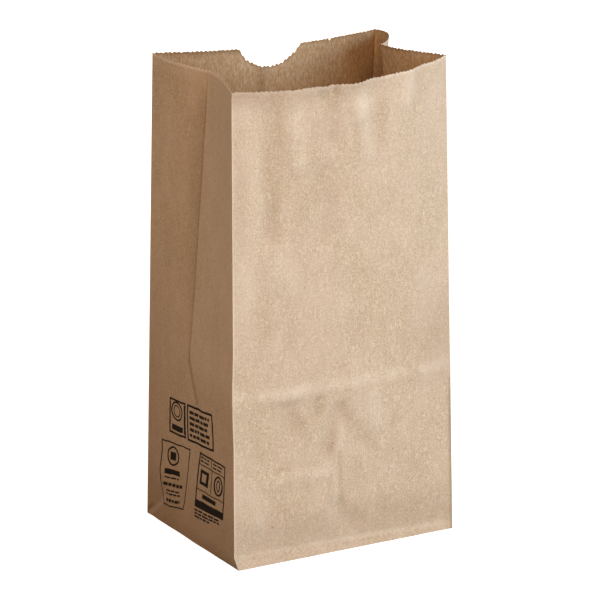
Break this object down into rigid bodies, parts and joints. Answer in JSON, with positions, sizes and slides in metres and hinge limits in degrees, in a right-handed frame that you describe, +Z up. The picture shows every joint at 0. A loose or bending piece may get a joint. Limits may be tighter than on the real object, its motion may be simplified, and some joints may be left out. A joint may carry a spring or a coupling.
{
  "type": "brown paper lunch bag",
  "caption": "Self-opening brown kraft paper lunch bag standing open, with gusseted sides, a flat pasted base, a saw-toothed mouth and a thumb notch.",
  "frame": {"origin": "middle of the base, on the surface the bag stands on", "axes": "+X along the near wall to the right, +Y from the near wall to the far wall with the thumb notch, +Z up through the mouth"},
  "size_m": [0.169, 0.1231, 0.3142],
  "materials": {
    "kraft_paper": "natural brown machine-finished kraft paper, matt, with fine upright fibre streaks"
  },
  "bodies": {
    "root": {"paper_bag": "kraft_paper"}
  },
  "joints": []
}
